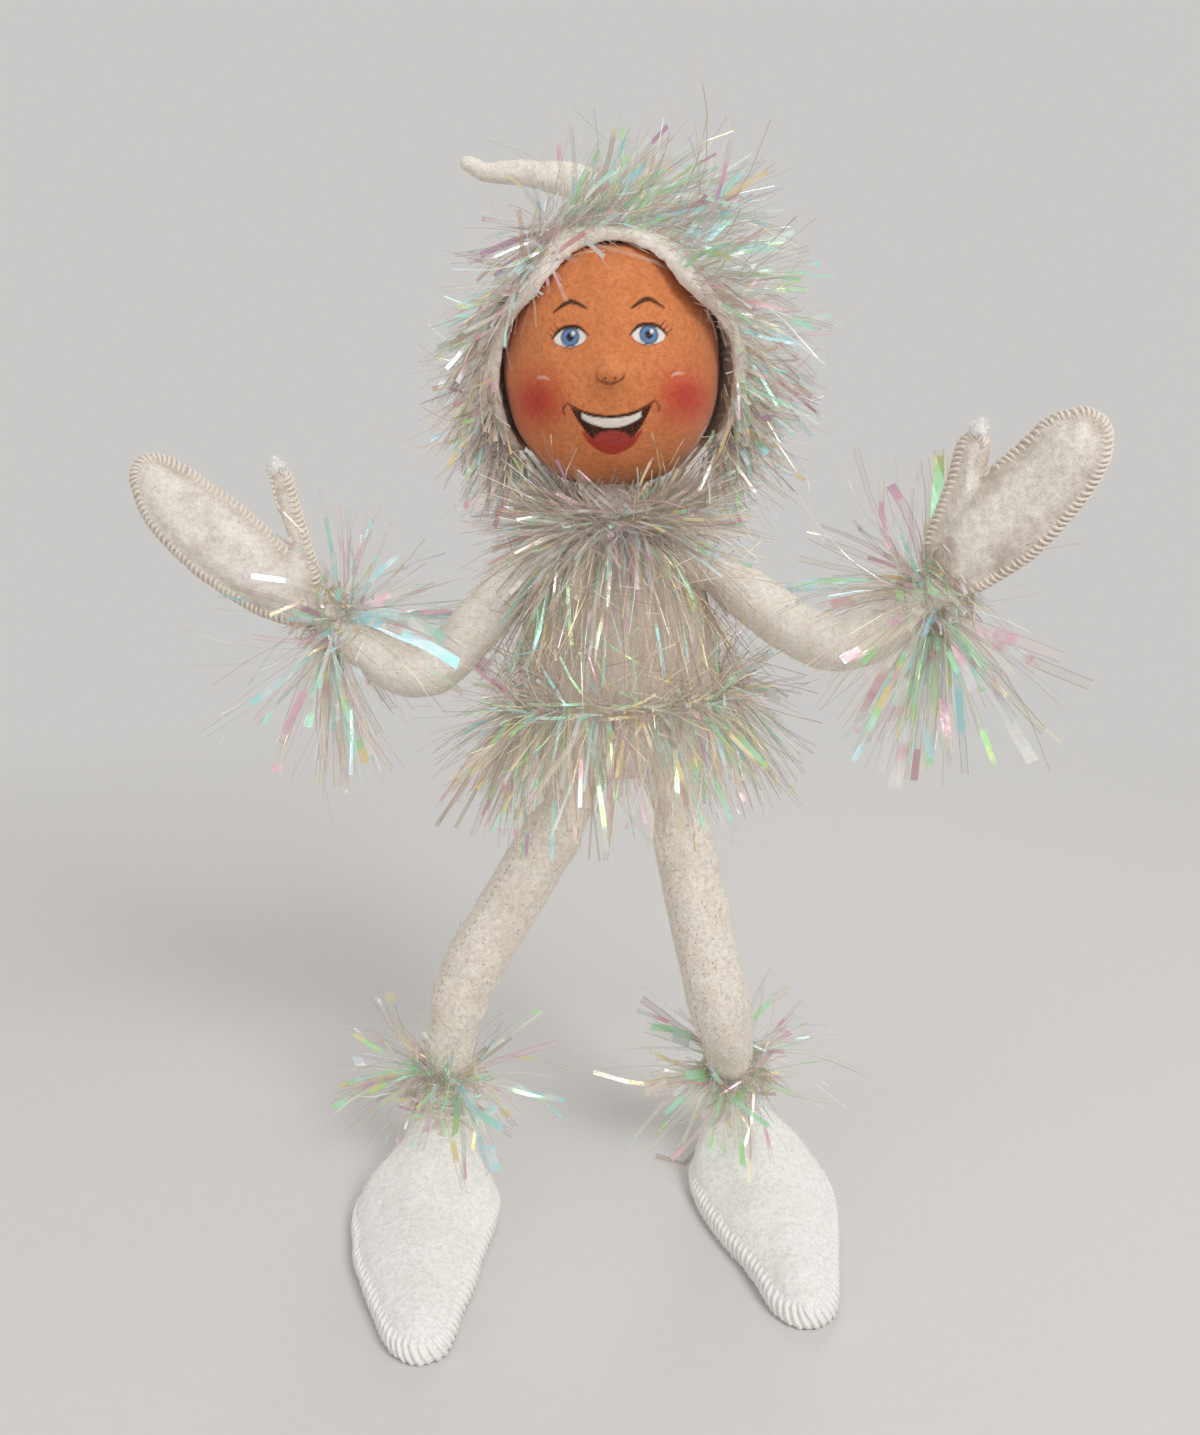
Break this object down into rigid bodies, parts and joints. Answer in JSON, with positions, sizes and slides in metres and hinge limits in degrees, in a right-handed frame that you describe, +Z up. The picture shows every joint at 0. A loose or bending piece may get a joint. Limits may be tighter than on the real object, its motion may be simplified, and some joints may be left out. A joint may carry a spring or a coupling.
{
  "type": "posable felt elf doll",
  "caption": "Stuffed felt elf doll on a bendable wire armature, with a pointed hood, mittens, pointed boots and tinsel at the hood, collar, waist, wrists and ankles.",
  "frame": {"origin": "middle of the bounding box on the floor under the boot soles", "axes": "+Z up, the doll faces -Y, its own left hand is at +X"},
  "size_m": [0.212, 0.1162, 0.2568],
  "materials": {
    "white_felt": "soft wool felt",
    "face_felt": "painted felt",
    "filling": "polyester fibre",
    "wire": "soft annealed wire",
    "tinsel": "clear iridescent film"
  },
  "bodies": {
    "torso": {"torso_felt": "white_felt", "torso_filling": "filling", "torso_wire": "wire", "collar_tinsel": "tinsel", "waist_tinsel": "tinsel"},
    "neck": {"neck_felt": "white_felt", "neck_wire": "wire"},
    "head": {"face_felt": "face_felt", "head_back_felt": "white_felt", "head_filling": "filling", "hood_felt": "white_felt", "hood_tinsel": "tinsel"},
    "cap_tail": {"cap_tail_felt": "white_felt"},
    "right_shoulder": {"right_shoulder_bend_wire": "wire"},
    "right_upper_arm": {"right_upper_arm_felt": "white_felt", "right_upper_arm_filling": "filling", "right_upper_arm_wire": "wire"},
    "right_forearm": {"right_forearm_felt": "white_felt", "right_forearm_filling": "filling", "right_forearm_wire": "wire", "right_wrist_tinsel": "tinsel"},
    "right_hand": {"right_mitten_palm": "white_felt", "right_mitten_back": "white_felt", "right_hand_wire": "wire"},
    "right_hip": {"right_hip_bend_wire": "wire"},
    "right_thigh": {"right_thigh_felt": "white_felt", "right_thigh_filling": "filling", "right_thigh_wire": "wire"},
    "right_shin": {"right_shin_felt": "white_felt", "right_shin_filling": "filling", "right_shin_wire": "wire", "right_ankle_tinsel": "tinsel"},
    "right_foot": {"right_boot_upper": "white_felt", "right_boot_sole": "white_felt", "right_boot_filling": "filling", "right_foot_wire": "wire"},
    "left_shoulder": {"left_shoulder_bend_wire": "wire"},
    "left_upper_arm": {"left_upper_arm_felt": "white_felt", "left_upper_arm_filling": "filling", "left_upper_arm_wire": "wire"},
    "left_forearm": {"left_forearm_felt": "white_felt", "left_forearm_filling": "filling", "left_forearm_wire": "wire", "left_wrist_tinsel": "tinsel"},
    "left_hand": {"left_mitten_palm": "white_felt", "left_mitten_back": "white_felt", "left_hand_wire": "wire"},
    "left_hip": {"left_hip_bend_wire": "wire"},
    "left_thigh": {"left_thigh_felt": "white_felt", "left_thigh_filling": "filling", "left_thigh_wire": "wire"},
    "left_shin": {"left_shin_felt": "white_felt", "left_shin_filling": "filling", "left_shin_wire": "wire", "left_ankle_tinsel": "tinsel"},
    "left_foot": {"left_boot_upper": "white_felt", "left_boot_sole": "white_felt", "left_boot_filling": "filling", "left_foot_wire": "wire"}
  },
  "joints": [
    {"name": "head_nod", "type": "hinge", "parent": "torso", "child": "neck", "pos_m": [0.00497, 0.01298, 0.17169], "axis": [0.9997, 0, 0.0262], "range_deg": [-14, 16]},
    {"name": "head_turn", "type": "hinge", "parent": "neck", "child": "head", "pos_m": [0.0048, 0.01298, 0.17819], "axis": [-0.0262, 0, 0.9997], "range_deg": [-50, 50]},
    {"name": "cap_tail_bend", "type": "hinge", "parent": "head", "child": "cap_tail", "pos_m": [0.00315, 0.02198, 0.24118], "axis": [0, 1, 0], "range_deg": [-15, 60]},
    {"name": "right_shoulder_swing", "type": "hinge", "parent": "torso", "child": "right_shoulder", "pos_m": [-0.01852, 0.01298, 0.15707], "axis": [-0.9899, -0.1392, -0.0259], "range_deg": [-40, 70]},
    {"name": "right_shoulder_raise", "type": "hinge", "parent": "right_shoulder", "child": "right_upper_arm", "pos_m": [-0.01852, 0.01298, 0.15707], "axis": [-0.1391, 0.9903, -0.0036], "range_deg": [-16, 46]},
    {"name": "right_elbow", "type": "hinge", "parent": "right_upper_arm", "child": "right_forearm", "pos_m": [-0.04167, 0.00962, 0.1297], "axis": [0.1391, -0.9903, 0.0036], "range_deg": [-10, 73]},
    {"name": "right_wrist", "type": "hinge", "parent": "right_forearm", "child": "right_hand", "pos_m": [-0.06337, 0.00664, 0.14714], "axis": [-0.656, -0.0949, -0.7488], "range_deg": [-40, 40]},
    {"name": "right_hip_swing", "type": "hinge", "parent": "torso", "child": "right_hip", "pos_m": [-0.00664, 0.01298, 0.09936], "axis": [-1, 0, 0], "range_deg": [-25, 75], "deforming": ["waist_tinsel"]},
    {"name": "right_hip_spread", "type": "hinge", "parent": "right_hip", "child": "right_thigh", "pos_m": [-0.00664, 0.01298, 0.09936], "axis": [0, 1, 0], "range_deg": [-18, 15], "deforming": ["waist_tinsel"]},
    {"name": "right_knee", "type": "hinge", "parent": "right_thigh", "child": "right_shin", "pos_m": [-0.03441, 0.01015, 0.05314], "axis": [0.9848, -0.0031, -0.1736], "range_deg": [0, 80]},
    {"name": "right_ankle", "type": "hinge", "parent": "right_shin", "child": "right_foot", "pos_m": [-0.03962, 0.00963, 0.0236], "axis": [0.9925, 0.1219, 0], "range_deg": [-12, 25]},
    {"name": "left_shoulder_swing", "type": "hinge", "parent": "torso", "child": "left_shoulder", "pos_m": [0.0292, 0.01298, 0.15832], "axis": [-0.8907, 0.454, -0.0233], "range_deg": [-40, 70]},
    {"name": "left_shoulder_raise", "type": "hinge", "parent": "left_shoulder", "child": "left_upper_arm", "pos_m": [0.0292, 0.01298, 0.15832], "axis": [-0.4538, -0.891, -0.0119], "range_deg": [-28, 40]},
    {"name": "left_elbow", "type": "hinge", "parent": "left_upper_arm", "child": "left_forearm", "pos_m": [0.05631, -0.00057, 0.13889], "axis": [0.4538, 0.891, 0.0119], "range_deg": [-28, 53]},
    {"name": "left_wrist", "type": "hinge", "parent": "left_forearm", "child": "left_hand", "pos_m": [0.07658, -0.01111, 0.15509], "axis": [-0.6894, 0.3426, 0.6382], "range_deg": [-40, 40]},
    {"name": "left_hip_swing", "type": "hinge", "parent": "torso", "child": "left_hip", "pos_m": [0.02035, 0.01298, 0.10007], "axis": [-1, 0, 0], "range_deg": [-25, 75], "deforming": ["waist_tinsel"]},
    {"name": "left_hip_spread", "type": "hinge", "parent": "left_hip", "child": "left_thigh", "pos_m": [0.02035, 0.01298, 0.10007], "axis": [0, 1, 0], "range_deg": [-30, 4], "deforming": ["waist_tinsel"]},
    {"name": "left_knee", "type": "hinge", "parent": "left_thigh", "child": "left_shin", "pos_m": [0.03196, 0.00496, 0.04795], "axis": [0.9835, -0.1021, 0.1491], "range_deg": [-24, 55]},
    {"name": "left_ankle", "type": "hinge", "parent": "left_shin", "child": "left_foot", "pos_m": [0.03738, 0.02163, 0.0236], "axis": [0.9816, 0.1908, 0], "range_deg": [-12, 25]}
  ]
}
